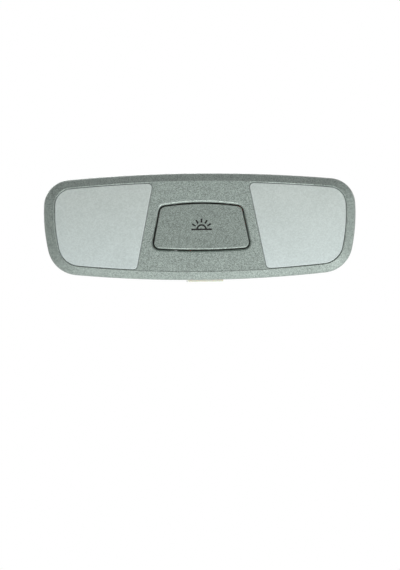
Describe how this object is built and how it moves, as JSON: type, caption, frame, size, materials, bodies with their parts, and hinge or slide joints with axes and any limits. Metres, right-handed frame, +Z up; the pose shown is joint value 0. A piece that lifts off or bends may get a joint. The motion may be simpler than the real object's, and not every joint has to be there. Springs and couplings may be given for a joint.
{
  "type": "car dome light",
  "caption": "Roof-mounted car dome light: painted bezel, two frosted lenses, rocking push button, staked lead-frame tray with clear bulbs and a plug socket.",
  "frame": {"origin": "centre of the bezel's rear edge, in the plane that seats on the roof lining", "axes": "+Z up to the roof, so the lit face looks down; +X along the lamp; +Y towards the plug socket's side"},
  "size_m": [0.208, 0.0722, 0.0261],
  "materials": {
    "bezel_paint": "satin metallic paint",
    "button_paint": "satin metallic paint",
    "lens_frosted": "frosted",
    "housing_plastic": "moulded",
    "strip_metal": "stamped and plated",
    "clip_metal": "tinned bronze",
    "cap_metal": "pressed and plated",
    "bulb_glass": "clear",
    "filament_metal": "drawn wire",
    "switch_black": "moulded",
    "bridge_metal": "stamped",
    "spring_metal": "drawn wire"
  },
  "bodies": {
    "lamp": {"bezel": "bezel_paint", "left_lens": "lens_frosted", "right_lens": "lens_frosted", "housing": "housing_plastic", "left_feed_strip": "strip_metal", "switch_loop_strip": "strip_metal", "right_switch_plate": "strip_metal", "right_feed_strip": "strip_metal", "earth_strip": "strip_metal", "door_strip": "strip_metal", "left_feed_clip": "clip_metal", "left_earth_clip": "clip_metal", "right_feed_clip": "clip_metal", "right_earth_clip": "clip_metal", "left_bulb_glass": "bulb_glass", "left_bulb_feed_cap": "cap_metal", "left_bulb_earth_cap": "cap_metal", "left_bulb_filament": "filament_metal", "right_bulb_glass": "bulb_glass", "right_bulb_feed_cap": "cap_metal", "right_bulb_earth_cap": "cap_metal", "right_bulb_filament": "filament_metal", "switch_base": "switch_black", "return_spring": "spring_metal"},
    "button": {"switch_button": "button_paint"},
    "plunger_body": {"plunger": "switch_black", "contact_bridge": "bridge_metal"}
  },
  "joints": [
    {"name": "button_press", "type": "hinge", "parent": "lamp", "child": "button", "pos_m": [0, -0.0183, -0.0035], "axis": [1, 0, 0], "range_deg": [0, 4], "stiffness_Nm_per_rad": 0.05, "springref_deg": -10.31},
    {"name": "plunger_travel", "type": "slide", "parent": "lamp", "child": "plunger_body", "axis": [0, 0, 1], "range_m": [0, 0.00121], "deforming": ["return_spring"]}
  ],
  "couplings": [
    {"joint": "plunger_travel", "follows": "button_press", "m_per_rad": 0.0173}
  ]
}
